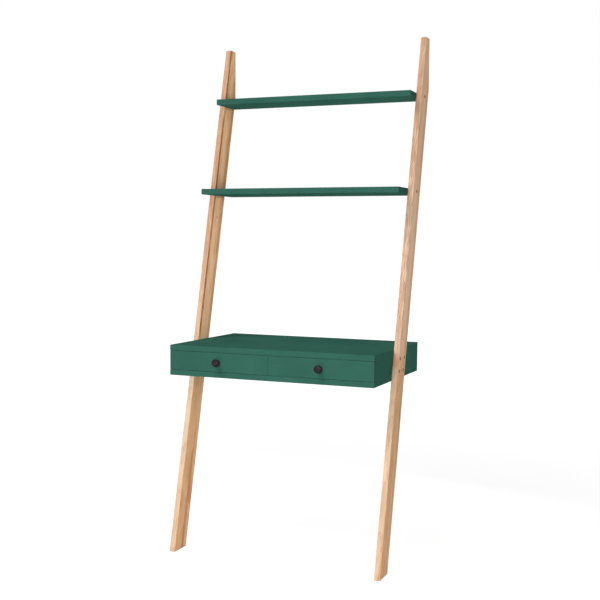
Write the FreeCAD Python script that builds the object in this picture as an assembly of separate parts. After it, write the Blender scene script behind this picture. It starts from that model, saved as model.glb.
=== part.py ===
import FreeCAD
import Part
import math
import os

# A leaning ladder desk: two wooden rails lean back to a wall and carry two shelves and a desk box with two
# drawers. Millimetres, +Z up, +X to the right and +Y towards the wall. A "reach" is a distance in front of
# the wall, and a height is measured from the floor. The origin lies on the floor at the centre of the
# desk's outline.

Vector = FreeCAD.Vector
RIGHT = Vector(1, 0, 0)
TO_WALL = Vector(0, 1, 0)
TO_ROOM = Vector(0, -1, 0)
UP = Vector(0, 0, 1)

# ---- Rails ----
overall_height = 1838.0
inner_width = 750.0            # between the rails' inner faces
rail_thickness = 21.0
rail_depth = 80.0              # of the rail's section, square to its length
foot_reach = 481.0             # the front edge of the foot
rail_top_reach = 40.0          # the front edge of the top
rail_edge_radius = 2.0

# ---- Shelves ----
back_gap = 10.0                # from the wall to the desk's and the top shelf's back edges
shelf_thickness = 20.0
top_shelf_drop = 200.0         # from the rails' tops to the upper face
top_shelf_reach = 160.0
shelf_spacing = 337.0          # between the two shelves' upper faces
middle_shelf_reach = 280.0
middle_shelf_back_gap = 30.0   # its back corners stay behind the rails
board_edge_radius = 0.8

# ---- Desk box ----
desk_height = 750.0            # upper face
desk_reach = 510.0
desk_box_height = 106.0
desk_board_thickness = 19.0    # top and bottom boards
desk_side_thickness = 19.0
divider_thickness = 19.0
desk_back_thickness = 12.0

# ---- Drawers ----
front_thickness = 18.0
front_gap = 1.0                # between a front and its neighbours above, below and beside it
front_end_inset = 0.2          # a front's outer end from the desk's side
front_seat_gap = 0.5           # between a closed front and the box sides behind it
front_edge_radius = 0.5
drawer_back_clearance = 50.0   # between a closed drawer's end and the back panel
drawer_side_height = 50.0
drawer_side_thickness = 12.0
drawer_back_thickness = 12.0
drawer_floor_clearance = 8.0   # under a drawer's sides
panel_thickness = 4.0          # a drawer's bottom panel
panel_height = 6.0             # from a drawer side's lower edge to the panel's groove
groove_depth = 6.0
panel_side_clearance = 0.5     # at the bottom of a groove
panel_face_clearance = 0.1     # on each face of the panel

# ---- Drawer runners ----
runner_width = 10.0            # from the box's side to the drawer's side
runner_height = 27.0
runner_setback = 2.0           # behind the front edge of the box's sides
runner_end_inset = 17.0        # from a drawer's end to the runner's end
runner_overlap = 100.0         # what a runner's two members still share in an open drawer
runner_sheet = 1.0
runner_lip = 0.9
cabinet_flange = 8.5
drawer_flange = 6.6
ball_radius = 1.6
ball_clearance = 0.05          # between a ball and each race
balls_per_race = 5
cage_sheet = 0.7
cage_offset = 1.6              # from the box's side to the cage
cage_flange = 5.6
cage_hole_clearance = 0.15
cage_end_margin = 5.0          # of that overlap at each end of the cage
runner_screw_inset = 35.0      # from a runner's end to its first screw

# ---- Knobs ----
knob_radius = 14.0
knob_projection = 25.0
knob_base_radius = 8.0
knob_base_height = 1.5
knob_neck_radius = 6.0
knob_neck_start = 3.5
knob_neck_end = 12.0
knob_rim_start = 16.0
knob_face_round = 5.0
knob_back_round = 1.5
knob_screw_radius = 2.0
knob_screw_head_radius = 4.0
knob_screw_head_height = 2.6
knob_screw_grip = 10.0         # inside the knob
knob_hole_depth = 12.0

# ---- Connector bolts and their inserts ----
bolt_radius = 3.0
bolt_length = 30.0             # under the head
bolt_head_radius = 6.5
bolt_head_height = 2.5
bolt_socket_flats = 4.0
bolt_socket_depth = 4.0
counterbore_depth = 3.0
counterbore_clearance = 0.5
bolt_hole_clearance = 0.3
insert_radius = 5.0
insert_length = 13.0
desk_bolt_height_spacing = 43.0
desk_bolt_reach_spacing = 47.0

# ---- Dowels ----
dowel_radius = 4.0
dowel_length = 30.0
shelf_dowel_in_rail = 10.0
shelf_dowel_spacing = 48.0
carcass_dowel_in_top = 12.0
drawer_dowel_radius = 3.0
drawer_dowel_length = 24.0
drawer_joint_low = 18.0        # from a drawer side's lower edge to the lower dowel or screw
drawer_joint_high = 10.0       # from its upper edge to the upper one
drill_relief = 1.0             # how much deeper a blind hole is than what stands in it

# ---- Screws ----
carcass_screw_radius = 2.5
carcass_screw_head_radius = 4.0
carcass_screw_length = 40.0
carcass_joint_inset = 40.0     # from the ends of a box side to its outer dowels and screws
carcass_joint_offset = 90.0    # from the rail's centre line to the inner ones
box_screw_radius = 1.75        # the screws of the desk box's back, the drawers' backs and the runners
box_screw_head_radius = 3.5
box_screw_length = 35.0
back_screw_spacing = 36.0
runner_screw_head_radius = 3.0
runner_screw_length = 9.0

# ---- Wall hangers ----
hanger_drop = 60.0             # from the rail's top to the plate's centre
hanger_width = 15.0
hanger_length = 56.0
hanger_thickness = 2.0
hanger_corner_radius = 3.0
keyhole_radius = 4.5
keyhole_slot_radius = 2.3
keyhole_slot_length = 10.0
keyhole_pocket_radius = 6.0
keyhole_pocket_depth = 8.0
hanger_screw_spacing = 40.0
hanger_screw_radius = 1.5
hanger_screw_head_radius = 3.0
hanger_screw_length = 16.0
hanger_clearance = 0.2

# ---- Fits ----
fit_clearance = 0.05           # radial, round dowels and inserts
screw_clearance = 0.1          # radial, round screws
match_tolerance = 0.001        # between an edge and the place that it is looked for at

# ---- Derived places ----
lean = (foot_reach - rail_top_reach) / overall_height
rail_run = rail_depth * math.hypot(1, lean)
cut_height = (foot_reach - rail_run) / lean
half_width = inner_width / 2
wall_y = max(desk_reach + knob_projection, foot_reach) / 2

top_shelf_height = overall_height - top_shelf_drop
middle_shelf_height = top_shelf_height - shelf_spacing

desk_base = desk_height - desk_box_height
bay_floor = desk_base + desk_board_thickness
bay_ceiling = desk_height - desk_board_thickness
desk_middle = (desk_height + desk_base) / 2
front_back_reach = desk_reach - front_thickness
carcass_front = front_back_reach - front_seat_gap
carcass_back = back_gap + desk_back_thickness
bay_inner_x = divider_thickness / 2
bay_outer_x = half_width - desk_side_thickness

drawer_base = bay_floor + drawer_floor_clearance
drawer_top = drawer_base + drawer_side_height
drawer_back_reach = carcass_back + drawer_back_clearance
joint_heights = (drawer_base + drawer_joint_low, drawer_top - drawer_joint_high)
groove_base = drawer_base + panel_height
groove_top = groove_base + panel_thickness + 2 * panel_face_clearance

runner_front = carcass_front - runner_setback
runner_back = drawer_back_reach + runner_end_inset
runner_middle = (runner_front + runner_back) / 2
runner_z = drawer_base + drawer_side_height / 2
cabinet_race = runner_height / 2 - runner_sheet
drawer_race = cabinet_race - 2 * (ball_radius + ball_clearance)
ball_z = (cabinet_race + drawer_race) / 2
ball_offset = (runner_width - drawer_flange + cabinet_flange) / 2
cage_length = runner_overlap - 2 * cage_end_margin

SIDES = {"left": -1, "right": 1}


def y_at(reach):
    return wall_y - reach


# ---- Shapes ----
def block(x, reach, z):
    """A box between two values of x, two reaches and two heights."""
    y = (y_at(max(reach)), y_at(min(reach)))
    corner = Vector(min(x), y[0], min(z))
    return Part.makeBox(max(x) - min(x), y[1] - y[0], max(z) - min(z), corner)


def soft_block(x, reach, z, radius):
    """A box with every edge eased."""
    sharp = block(x, reach, z)
    return sharp.makeFillet(radius, sharp.Edges)


def aim(shape, start, direction):
    """Turn a shape made along +Z at the origin to a place and a direction."""
    shape.Placement = FreeCAD.Placement(start, FreeCAD.Rotation(UP, direction))
    return shape


def hexagon(across_flats, depth, start, direction):
    radius = across_flats / math.sqrt(3)
    turns = [math.radians(60 * corner) for corner in range(6)]
    corners = [Vector(radius * math.cos(turn), radius * math.sin(turn), 0) for turn in turns]
    face = Part.Face(Part.makePolygon(corners + corners[:1]))
    return aim(face.extrude(Vector(0, 0, depth)), start, direction)


def countersunk(radius, head_radius, length, start, direction, grow=0.0):
    """A screw whose head is flush at start, or with grow the hole that it stands in."""
    head = Part.makeCone(head_radius + grow, radius + grow, head_radius - radius, start, direction)
    shank = Part.makeCylinder(radius + grow, length + grow, start, direction)
    return head.fuse(shank).removeSplitter()


def slot(radius, length, depth, start, direction):
    """A round-ended hole that runs up from start, with its depth along direction."""
    low = Part.makeCylinder(radius, depth, start, direction)
    high = Part.makeCylinder(radius, depth, start + UP * length, direction)
    corner = start - RIGHT * radius
    if direction.y < 0:
        corner = corner + direction * depth
    middle = Part.makeBox(2 * radius, depth, length, corner)
    return low.fuse([high, middle]).removeSplitter()


def spread(first, last, count):
    """Evenly spaced values from first to last."""
    step = (last - first) / (count - 1)
    return [first + step * index for index in range(count)]


def cut_all(shape, tools):
    for tool in tools:
        shape = shape.cut(tool)
    return shape


def save(name, *solids):
    shape = solids[0] if len(solids) == 1 else Part.makeCompound(solids)
    shape.exportStep("parts/" + name + ".step")


# ---- Where the fasteners stand ----
def rail_centre_reach(z):
    """The middle of a rail's side face at a height."""
    return foot_reach - z * lean - rail_run / 2


def desk_bolt_places():
    """Reach and height of each bolt of one rail that holds the desk box."""
    rows = [desk_middle - desk_bolt_height_spacing / 2, desk_middle + desk_bolt_height_spacing / 2]
    columns = [-desk_bolt_reach_spacing / 2, desk_bolt_reach_spacing / 2]
    return [(rail_centre_reach(z) + column, z) for z in rows for column in columns]


def shelf_middle(height):
    return height - shelf_thickness / 2


def shelf_bolt_places():
    middles = [shelf_middle(top_shelf_height), shelf_middle(middle_shelf_height)]
    return [(rail_centre_reach(z), z) for z in middles]


def shelf_dowel_places(height):
    z = shelf_middle(height)
    offsets = (-shelf_dowel_spacing / 2, shelf_dowel_spacing / 2)
    return [(rail_centre_reach(z) + offset, z) for offset in offsets]


def carcass_joint_reaches():
    """Two joints near the ends of a box side and two that pass the rail's bolts."""
    centre = rail_centre_reach(desk_middle)
    inner = [centre + carcass_joint_offset, centre - carcass_joint_offset]
    return [carcass_front - carcass_joint_inset, *inner, carcass_back + carcass_joint_inset]


def carcass_joint_xs():
    """The middle of each upright board that stands between the desk's top and bottom."""
    side_x = half_width - desk_side_thickness / 2
    return [-side_x, 0.0, side_x]


def carcass_joint_places():
    return [(x, reach) for x in carcass_joint_xs() for reach in carcass_joint_reaches()]


def back_screw_heights():
    return [desk_middle - back_screw_spacing / 2, desk_middle + back_screw_spacing / 2]


def runner_screw_reaches():
    return [runner_front - runner_screw_inset, runner_middle, runner_back + runner_screw_inset]


# ---- Bolts, inserts and dowels ----
def connector_bolt(side, reach, z):
    outer_x = side * (half_width + rail_thickness)
    seat = Vector(outer_x - side * counterbore_depth, y_at(reach), z)
    head = Part.makeCylinder(bolt_head_radius, bolt_head_height, seat, RIGHT * side)
    shank = Part.makeCylinder(bolt_radius, bolt_length, seat, RIGHT * -side)
    socket_start = seat + RIGHT * (side * bolt_head_height)
    socket = hexagon(bolt_socket_flats, bolt_socket_depth, socket_start, RIGHT * -side)
    return head.fuse(shank).cut(socket)


def bolt_holes(side, places):
    """The clearance holes and counterbores of a rail."""
    holes = []
    outer_x = side * (half_width + rail_thickness)
    for reach, z in places:
        start = Vector(outer_x, y_at(reach), z)
        through = bolt_radius + bolt_hole_clearance
        holes.append(Part.makeCylinder(through, rail_thickness, start, RIGHT * -side))
        recess = bolt_head_radius + counterbore_clearance
        holes.append(Part.makeCylinder(recess, counterbore_depth, start, RIGHT * -side))
    return holes


def insert(side, reach, z):
    start = Vector(side * half_width, y_at(reach), z)
    body = Part.makeCylinder(insert_radius, insert_length, start, RIGHT * -side)
    bore = Part.makeCylinder(bolt_radius + screw_clearance, insert_length, start, RIGHT * -side)
    return body.cut(bore)


def insert_holes(side, places):
    radius = insert_radius + fit_clearance
    depth = insert_length + drill_relief
    starts = [Vector(side * half_width, y_at(reach), z) for reach, z in places]
    return [Part.makeCylinder(radius, depth, start, RIGHT * -side) for start in starts]


def shelf_dowel(side, reach, z, grow=0.0, relief=0.0):
    start = Vector(side * (half_width + shelf_dowel_in_rail + relief), y_at(reach), z)
    return Part.makeCylinder(dowel_radius + grow, dowel_length + 2 * relief, start, RIGHT * -side)


def shelf_dowel_holes(side, height):
    places = shelf_dowel_places(height)
    return [shelf_dowel(side, reach, z, fit_clearance, drill_relief) for reach, z in places]


def carcass_dowels(grow=0.0, relief=0.0):
    start_z = bay_ceiling + carcass_dowel_in_top + relief
    starts = [Vector(x, y_at(reach), start_z) for x, reach in carcass_joint_places()]
    length = dowel_length + 2 * relief
    return [Part.makeCylinder(dowel_radius + grow, length, start, -UP) for start in starts]


def carcass_screws(grow=0.0):
    starts = [Vector(x, y_at(reach), desk_base) for x, reach in carcass_joint_places()]
    sizes = (carcass_screw_radius, carcass_screw_head_radius, carcass_screw_length)
    return [countersunk(*sizes, start, UP, grow) for start in starts]


def back_screws(grow=0.0):
    starts = [Vector(x, y_at(back_gap), z) for x in carcass_joint_xs() for z in back_screw_heights()]
    sizes = (box_screw_radius, box_screw_head_radius, box_screw_length)
    return [countersunk(*sizes, start, TO_ROOM, grow) for start in starts]


# ---- Rails and their wall hangers ----
def rail_blank(side):
    front_y = y_at(foot_reach)
    outline = [
        Vector(side * half_width, front_y, 0),
        Vector(side * half_width, front_y + rail_run, 0),
        Vector(side * half_width, wall_y, cut_height),
        Vector(side * half_width, wall_y, overall_height),
        Vector(side * half_width, front_y + overall_height * lean, overall_height),
    ]
    face = Part.Face(Part.makePolygon(outline + outline[:1]))
    rail = face.extrude(RIGHT * (side * rail_thickness))
    eased = [edge for edge in rail.Edges if not is_bend(edge)]
    return rail.makeFillet(rail_edge_radius, eased)


def is_bend(edge):
    """True for the edge across the rail's back where its upright cut begins."""
    heights = [vertex.Point.z for vertex in edge.Vertexes]
    return all(abs(height - cut_height) < match_tolerance for height in heights)


def hanger_centre(side):
    x = side * (half_width + rail_thickness / 2)
    return Vector(x, wall_y, overall_height - hanger_drop)


def hanger_plate(side, grow=0.0):
    centre = hanger_centre(side)
    half = hanger_width / 2 + grow
    low = centre.z - hanger_length / 2 - grow
    high = centre.z + hanger_length / 2 + grow
    plate = block((centre.x - half, centre.x + half), (0, hanger_thickness), (low, high))
    corners = [edge for edge in plate.Edges if abs(edge.tangentAt(0).y) > 0.5]
    return plate.makeFillet(hanger_corner_radius, corners)


def keyhole_start(side):
    """The centre of the keyhole's round entry, on the wall's plane."""
    return hanger_centre(side) - UP * (keyhole_slot_length / 2)


def hanger_screws(side, grow=0.0):
    centre = hanger_centre(side)
    sizes = (hanger_screw_radius, hanger_screw_head_radius, hanger_screw_length)
    offsets = (-hanger_screw_spacing / 2, hanger_screw_spacing / 2)
    return [countersunk(*sizes, centre + UP * offset, TO_ROOM, grow) for offset in offsets]


def wall_hanger(side):
    start = keyhole_start(side)
    entry = Part.makeCylinder(keyhole_radius, hanger_thickness, start, TO_ROOM)
    neck = slot(keyhole_slot_radius, keyhole_slot_length, hanger_thickness, start, TO_ROOM)
    return cut_all(hanger_plate(side), [entry, neck] + hanger_screws(side, screw_clearance))


def hanger_recess(side):
    pocket_start = keyhole_start(side)
    depth = hanger_thickness + keyhole_pocket_depth
    pocket = slot(keyhole_pocket_radius, keyhole_slot_length, depth, pocket_start, TO_ROOM)
    return [hanger_plate(side, hanger_clearance), pocket] + hanger_screws(side, screw_clearance)


def rail(side):
    tools = bolt_holes(side, desk_bolt_places() + shelf_bolt_places())
    tools += shelf_dowel_holes(side, top_shelf_height)
    tools += shelf_dowel_holes(side, middle_shelf_height)
    tools += hanger_recess(side)
    return cut_all(rail_blank(side), tools)


# ---- Shelves ----
def shelf(height, front_reach, back_reach):
    z = (height - shelf_thickness, height)
    board = soft_block((-half_width, half_width), (front_reach, back_reach), z, board_edge_radius)
    middle = shelf_middle(height)
    tools = []
    for side in SIDES.values():
        tools += insert_holes(side, [(rail_centre_reach(middle), middle)])
        tools += shelf_dowel_holes(side, height)
    return cut_all(board, tools)


# ---- Desk box ----
def box_board(back_reach, outer_z, joint_z):
    """The desk box's top or bottom: eased round its outer face and along its front, sharp at its joints."""
    board = block((-half_width, half_width), (desk_reach, back_reach), (outer_z, joint_z))
    eased = level_edges(board, outer_z)
    eased += [edge for edge in level_edges(board, joint_z) if is_at_front(edge)]
    return board.makeFillet(board_edge_radius, eased)


def level_edges(shape, height):
    """The edges that lie at a height all along."""
    ends = [(edge, [vertex.Z for vertex in edge.Vertexes]) for edge in shape.Edges]
    return [edge for edge, heights in ends if all(abs(z - height) < match_tolerance for z in heights)]


def is_at_front(edge):
    return all(abs(vertex.Y - y_at(desk_reach)) < match_tolerance for vertex in edge.Vertexes)


def desk_top():
    board = box_board(back_gap, desk_height, bay_ceiling)
    return cut_all(board, carcass_dowels(fit_clearance, drill_relief))


def desk_bottom():
    board = box_board(carcass_back, desk_base, bay_floor)
    return cut_all(board, carcass_screws(screw_clearance))


def upright(x):
    """A board that stands between the desk's bottom and top, drilled for all that holds it."""
    board = block(x, (carcass_front, carcass_back), (bay_floor, bay_ceiling))
    tools = carcass_dowels(fit_clearance, drill_relief)
    tools += carcass_screws(screw_clearance)
    tools += back_screws(screw_clearance)
    tools += cabinet_runner_screws(screw_clearance)
    return cut_all(board, tools)


def desk_side(side):
    board = upright((side * bay_outer_x, side * half_width))
    return cut_all(board, insert_holes(side, desk_bolt_places()))


def desk_divider():
    return upright((-bay_inner_x, bay_inner_x))


def desk_back():
    """The back panel, under the top and behind every other board of the box."""
    x = (-half_width, half_width)
    board = block(x, (carcass_back, back_gap), (desk_base, bay_ceiling))
    return cut_all(board, back_screws(screw_clearance))


# ---- Drawer runners ----
# A runner lies between an upright board's face and the drawer's side. Its section is drawn from that face
# (offset) and from the runner's middle height (z), for the upper half only; inward is +1 or -1 along X.
def bay(side):
    return sorted((side * bay_inner_x, side * bay_outer_x))


def runner_faces(side):
    """The face that each of a drawer's two runners is screwed to, and its inward direction."""
    low, high = bay(side)
    return {"left": (low, 1), "right": (high, -1)}


def extruded_section(upper_half, face_x, inward, reach):
    lower_half = [(offset, -z) for offset, z in reversed(upper_half)]
    outline = [
        Vector(face_x + inward * offset, y_at(max(reach)), runner_z + z)
        for offset, z in upper_half + lower_half
    ]
    face = Part.Face(Part.makePolygon(outline + outline[:1]))
    return face.extrude(TO_WALL * (max(reach) - min(reach)))


def cabinet_runner(face_x, inward):
    outer = runner_height / 2
    lip_z = cabinet_race - runner_lip
    lip_offset = cabinet_flange - runner_sheet
    upper_half = [
        (0, outer),
        (cabinet_flange, outer),
        (cabinet_flange, lip_z),
        (lip_offset, lip_z),
        (lip_offset, cabinet_race),
        (runner_sheet, cabinet_race),
    ]
    member = extruded_section(upper_half, face_x, inward, (runner_front, runner_back))
    return cut_all(member, cabinet_screws(face_x, inward, screw_clearance))


def drawer_runner(face_x, inward):
    tip = runner_width - drawer_flange
    lip_z = drawer_race + runner_lip
    inner = drawer_race - runner_sheet
    upper_half = [
        (runner_width, drawer_race),
        (tip + runner_sheet, drawer_race),
        (tip + runner_sheet, lip_z),
        (tip, lip_z),
        (tip, inner),
        (runner_width - runner_sheet, inner),
    ]
    member = extruded_section(upper_half, face_x, inward, (runner_front, runner_back))
    return cut_all(member, drawer_screws(face_x, inward, screw_clearance))


def ball_reaches():
    half = cage_length / 2 - ball_radius * 2
    return spread(runner_middle + half, runner_middle - half, balls_per_race)


def ball_cage(face_x, inward):
    high = ball_z + cage_sheet / 2
    low = ball_z - cage_sheet / 2
    tip = cage_offset + cage_flange
    upper_half = [(cage_offset, high), (tip, high), (tip, low), (cage_offset + cage_sheet, low)]
    reach = (runner_middle + cage_length / 2, runner_middle - cage_length / 2)
    cage = extruded_section(upper_half, face_x, inward, reach)
    holes = []
    for ball_reach in ball_reaches():
        start = Vector(face_x + inward * ball_offset, y_at(ball_reach), runner_z - runner_height / 2)
        holes.append(Part.makeCylinder(ball_radius + cage_hole_clearance, runner_height, start, UP))
    return cut_all(cage, holes)


def balls(face_x, inward):
    x = face_x + inward * ball_offset
    heights = (runner_z - ball_z, runner_z + ball_z)
    centres = [Vector(x, y_at(reach), z) for reach in ball_reaches() for z in heights]
    return [Part.makeSphere(ball_radius, centre) for centre in centres]


def cabinet_screws(face_x, inward, grow=0.0):
    sizes = (box_screw_radius, runner_screw_head_radius, runner_screw_length)
    x = face_x + inward * runner_sheet
    starts = [Vector(x, y_at(reach), runner_z) for reach in runner_screw_reaches()]
    return [countersunk(*sizes, start, RIGHT * -inward, grow) for start in starts]


def drawer_screws(face_x, inward, grow=0.0):
    sizes = (box_screw_radius, runner_screw_head_radius, runner_screw_length)
    x = face_x + inward * (runner_width - runner_sheet)
    starts = [Vector(x, y_at(reach), runner_z) for reach in runner_screw_reaches()]
    return [countersunk(*sizes, start, RIGHT * inward, grow) for start in starts]


def cabinet_runner_screws(grow=0.0):
    """Every screw that holds a cabinet runner."""
    screws = []
    for side in SIDES.values():
        for face_x, inward in runner_faces(side).values():
            screws += cabinet_screws(face_x, inward, grow)
    return screws


def drawer_runner_screws(side, grow=0.0):
    screws = []
    for face_x, inward in runner_faces(side).values():
        screws += drawer_screws(face_x, inward, grow)
    return screws


# ---- Drawers ----
def drawer_box_x(side):
    """The outer faces of a drawer's two sides."""
    low, high = bay(side)
    return low + runner_width, high - runner_width


def drawer_inner_x(side):
    low, high = drawer_box_x(side)
    return low + drawer_side_thickness, high - drawer_side_thickness


def front_x(side):
    return sorted((side * front_gap / 2, side * (half_width - front_end_inset)))


def knob_place(side):
    low, high = front_x(side)
    return Vector((low + high) / 2, y_at(desk_reach), desk_middle)


def groove(side):
    """The groove that holds a bottom panel, through the sides, the front and the back."""
    low, high = drawer_inner_x(side)
    x = (low - groove_depth, high + groove_depth)
    front = front_back_reach + groove_depth
    back = drawer_back_reach + drawer_back_thickness - groove_depth
    return block(x, (front, back), (groove_base, groove_top))


def bottom_panel(side):
    low, high = drawer_inner_x(side)
    depth = groove_depth - panel_side_clearance
    front = front_back_reach + depth
    back = drawer_back_reach + drawer_back_thickness - depth
    base = groove_base + panel_face_clearance
    return block((low - depth, high + depth), (front, back), (base, base + panel_thickness))


def drawer_side_xs(side):
    """The middle of each drawer side's thickness."""
    low, high = drawer_box_x(side)
    return low + drawer_side_thickness / 2, high - drawer_side_thickness / 2


def front_dowels(side, grow=0.0, relief=0.0):
    start_y = y_at(front_back_reach) - drawer_dowel_length / 2 - relief
    starts = [Vector(x, start_y, z) for x in drawer_side_xs(side) for z in joint_heights]
    radius = drawer_dowel_radius + grow
    length = drawer_dowel_length + 2 * relief
    return [Part.makeCylinder(radius, length, start, TO_WALL) for start in starts]


def drawer_back_screws(side, grow=0.0):
    sizes = (box_screw_radius, box_screw_head_radius, box_screw_length)
    y = y_at(drawer_back_reach + drawer_back_thickness / 2)
    low, high = drawer_box_x(side)
    screws = []
    for z in joint_heights:
        screws.append(countersunk(*sizes, Vector(low, y, z), RIGHT, grow))
        screws.append(countersunk(*sizes, Vector(high, y, z), -RIGHT, grow))
    return screws


def drawer_front(side):
    z = (bay_floor + front_gap, bay_ceiling - front_gap)
    front = soft_block(front_x(side), (desk_reach, front_back_reach), z, front_edge_radius)
    place = knob_place(side)
    hole = Part.makeCylinder(knob_screw_radius + screw_clearance, front_thickness, place, TO_WALL)
    tools = [groove(side), hole] + front_dowels(side, fit_clearance, drill_relief)
    return cut_all(front, tools)


def drawer_side(side, hand):
    low, high = drawer_box_x(side)
    x = (low, low + drawer_side_thickness) if hand == "left" else (high - drawer_side_thickness, high)
    board = block(x, (front_back_reach, drawer_back_reach), (drawer_base, drawer_top))
    tools = [groove(side)]
    tools += front_dowels(side, fit_clearance, drill_relief)
    tools += drawer_back_screws(side, screw_clearance)
    tools += drawer_runner_screws(side, screw_clearance)
    return cut_all(board, tools)


def drawer_back(side):
    reach = (drawer_back_reach + drawer_back_thickness, drawer_back_reach)
    board = block(drawer_inner_x(side), reach, (drawer_base, drawer_top))
    return cut_all(board, [groove(side)] + drawer_back_screws(side, screw_clearance))


def knob(side):
    """A turned mushroom knob, made along +Z and then aimed into the room."""
    profile = [
        Vector(0, 0, 0),
        Vector(knob_base_radius, 0, 0),
        Vector(knob_base_radius, 0, knob_base_height),
        Vector(knob_neck_radius, 0, knob_neck_start),
        Vector(knob_neck_radius, 0, knob_neck_end),
        Vector(knob_radius, 0, knob_rim_start),
        Vector(knob_radius, 0, knob_projection),
        Vector(0, 0, knob_projection),
    ]
    face = Part.Face(Part.makePolygon(profile + profile[:1]))
    body = face.revolve(Vector(0, 0, 0), UP, 360)
    body = body.makeFillet(knob_face_round, rim_edges(body, knob_projection))
    body = body.makeFillet(knob_back_round, rim_edges(body, knob_rim_start))
    hole = Part.makeCylinder(knob_screw_radius + screw_clearance, knob_hole_depth)
    return aim(body.cut(hole), knob_place(side), TO_ROOM)


def rim_edges(body, height):
    """The full circles of the knob's largest radius at a height."""
    circles = [edge for edge in body.Edges if isinstance(edge.Curve, Part.Circle)]
    widest = [edge for edge in circles if abs(edge.Curve.Radius - knob_radius) < match_tolerance]
    return [edge for edge in widest if abs(edge.Curve.Center.z - height) < match_tolerance]


def knob_screw(side):
    seat = knob_place(side) + TO_WALL * front_thickness
    head = Part.makeCylinder(knob_screw_head_radius, knob_screw_head_height, seat, TO_WALL)
    length = front_thickness + knob_screw_grip
    shank = Part.makeCylinder(knob_screw_radius, length, seat, TO_ROOM)
    return head.fuse(shank)


# ---- Writing the pieces ----
def save_frame():
    save("top_shelf", shelf(top_shelf_height, top_shelf_reach, back_gap))
    save("middle_shelf", shelf(middle_shelf_height, middle_shelf_reach, middle_shelf_back_gap))
    save("desk_top", desk_top())
    save("desk_bottom", desk_bottom())
    save("desk_divider", desk_divider())
    save("desk_back", desk_back())
    save("carcass_dowels", *carcass_dowels())
    save("carcass_screws", *carcass_screws())
    save("back_screws", *back_screws())
    save("cabinet_runner_screws", *cabinet_runner_screws())
    for name, side in SIDES.items():
        save(name + "_rail", rail(side))
        save("desk_" + name + "_side", desk_side(side))
        save(name + "_wall_hanger", wall_hanger(side))


def save_frame_fasteners():
    sides = SIDES.values()
    desk_places = [(side, *place) for side in sides for place in desk_bolt_places()]
    shelf_places = [(side, *place) for side in sides for place in shelf_bolt_places()]
    save("desk_bolts", *[connector_bolt(*place) for place in desk_places])
    save("shelf_bolts", *[connector_bolt(*place) for place in shelf_places])
    save("desk_inserts", *[insert(*place) for place in desk_places])
    save("shelf_inserts", *[insert(*place) for place in shelf_places])
    dowel_places = shelf_dowel_places(top_shelf_height) + shelf_dowel_places(middle_shelf_height)
    save("shelf_dowels", *[shelf_dowel(side, *place) for side in sides for place in dowel_places])
    save("hanger_screws", *[screw for side in sides for screw in hanger_screws(side)])


def save_drawer(name, side):
    save(name + "_front", drawer_front(side))
    save(name + "_back", drawer_back(side))
    save(name + "_bottom", bottom_panel(side))
    save(name + "_knob", knob(side))
    save(name + "_knob_screw", knob_screw(side))
    save(name + "_front_dowels", *front_dowels(side))
    save(name + "_back_screws", *drawer_back_screws(side))
    save(name + "_runner_screws", *drawer_runner_screws(side))
    for hand, face in runner_faces(side).items():
        save(name + "_" + hand + "_side", drawer_side(side, hand))
        save(name + "_" + hand + "_cabinet_runner", cabinet_runner(*face))
        save(name + "_" + hand + "_drawer_runner", drawer_runner(*face))
        save(name + "_" + hand + "_ball_cage", ball_cage(*face))
        save(name + "_" + hand + "_balls", *balls(*face))


os.makedirs("parts", exist_ok=True)
save_frame()
save_frame_fasteners()
for drawer_name, drawer_side_sign in SIDES.items():
    save_drawer(drawer_name + "_drawer", drawer_side_sign)
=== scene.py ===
import math

import bpy
from mathutils import Matrix, Vector


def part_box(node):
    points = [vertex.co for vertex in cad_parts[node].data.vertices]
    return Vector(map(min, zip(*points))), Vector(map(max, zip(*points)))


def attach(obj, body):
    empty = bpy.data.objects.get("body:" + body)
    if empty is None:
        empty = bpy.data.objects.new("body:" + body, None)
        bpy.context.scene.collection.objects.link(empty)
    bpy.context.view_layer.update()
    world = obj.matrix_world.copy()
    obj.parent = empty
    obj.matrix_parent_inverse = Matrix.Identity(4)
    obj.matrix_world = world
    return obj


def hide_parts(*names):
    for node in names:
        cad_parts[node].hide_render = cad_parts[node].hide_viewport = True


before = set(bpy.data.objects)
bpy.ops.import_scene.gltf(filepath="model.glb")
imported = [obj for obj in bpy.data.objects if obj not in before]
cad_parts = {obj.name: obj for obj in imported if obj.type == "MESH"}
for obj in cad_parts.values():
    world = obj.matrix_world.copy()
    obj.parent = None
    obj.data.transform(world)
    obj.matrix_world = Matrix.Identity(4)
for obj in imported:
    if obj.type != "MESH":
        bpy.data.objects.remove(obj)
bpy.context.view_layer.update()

# A leaning ladder desk: timber rails, painted shelves and a painted desk box with two drawers. The joinery
# comes packed, in metres, with +Z up and +Y towards the wall. This file gives every board its finish, turns
# the knobs, makes the bolts and the screws, and sets the desk on a plain studio floor.

bl_info = {
    "name": "Ladder Desk",
    "version": (1, 0, 0),
    "blender": (4, 5, 0),
    "location": "3D View > Sidebar > Ladder Desk",
    "description": "Finishes a leaning ladder desk around its joinery",
    "category": "Object",
}

MM = 0.001
X, Y, Z = range(3)
TO_ROOM = Vector((0, -1, 0))
TO_WALL = Vector((0, 1, 0))
UP = Vector((0, 0, 1))

RAILS = ("left_rail", "right_rail")
DRAWERS = ("left_drawer", "right_drawer")
HANDS = ("left", "right")
PAINTED_BOARDS = (
    "top_shelf",
    "middle_shelf",
    "desk_top",
    "desk_bottom",
    "desk_left_side",
    "desk_right_side",
    "desk_divider",
    "desk_back",
    "left_drawer_front",
    "right_drawer_front",
)


def srgb(red, green, blue):
    """A colour written as 0 to 255 on screen, in the linear values that Blender's settings hold."""
    shares = [part / 255 for part in (red, green, blue)]
    return [s / 12.92 if s <= 0.04045 else ((s + 0.055) / 1.055) ** 2.4 for s in shares]


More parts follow.
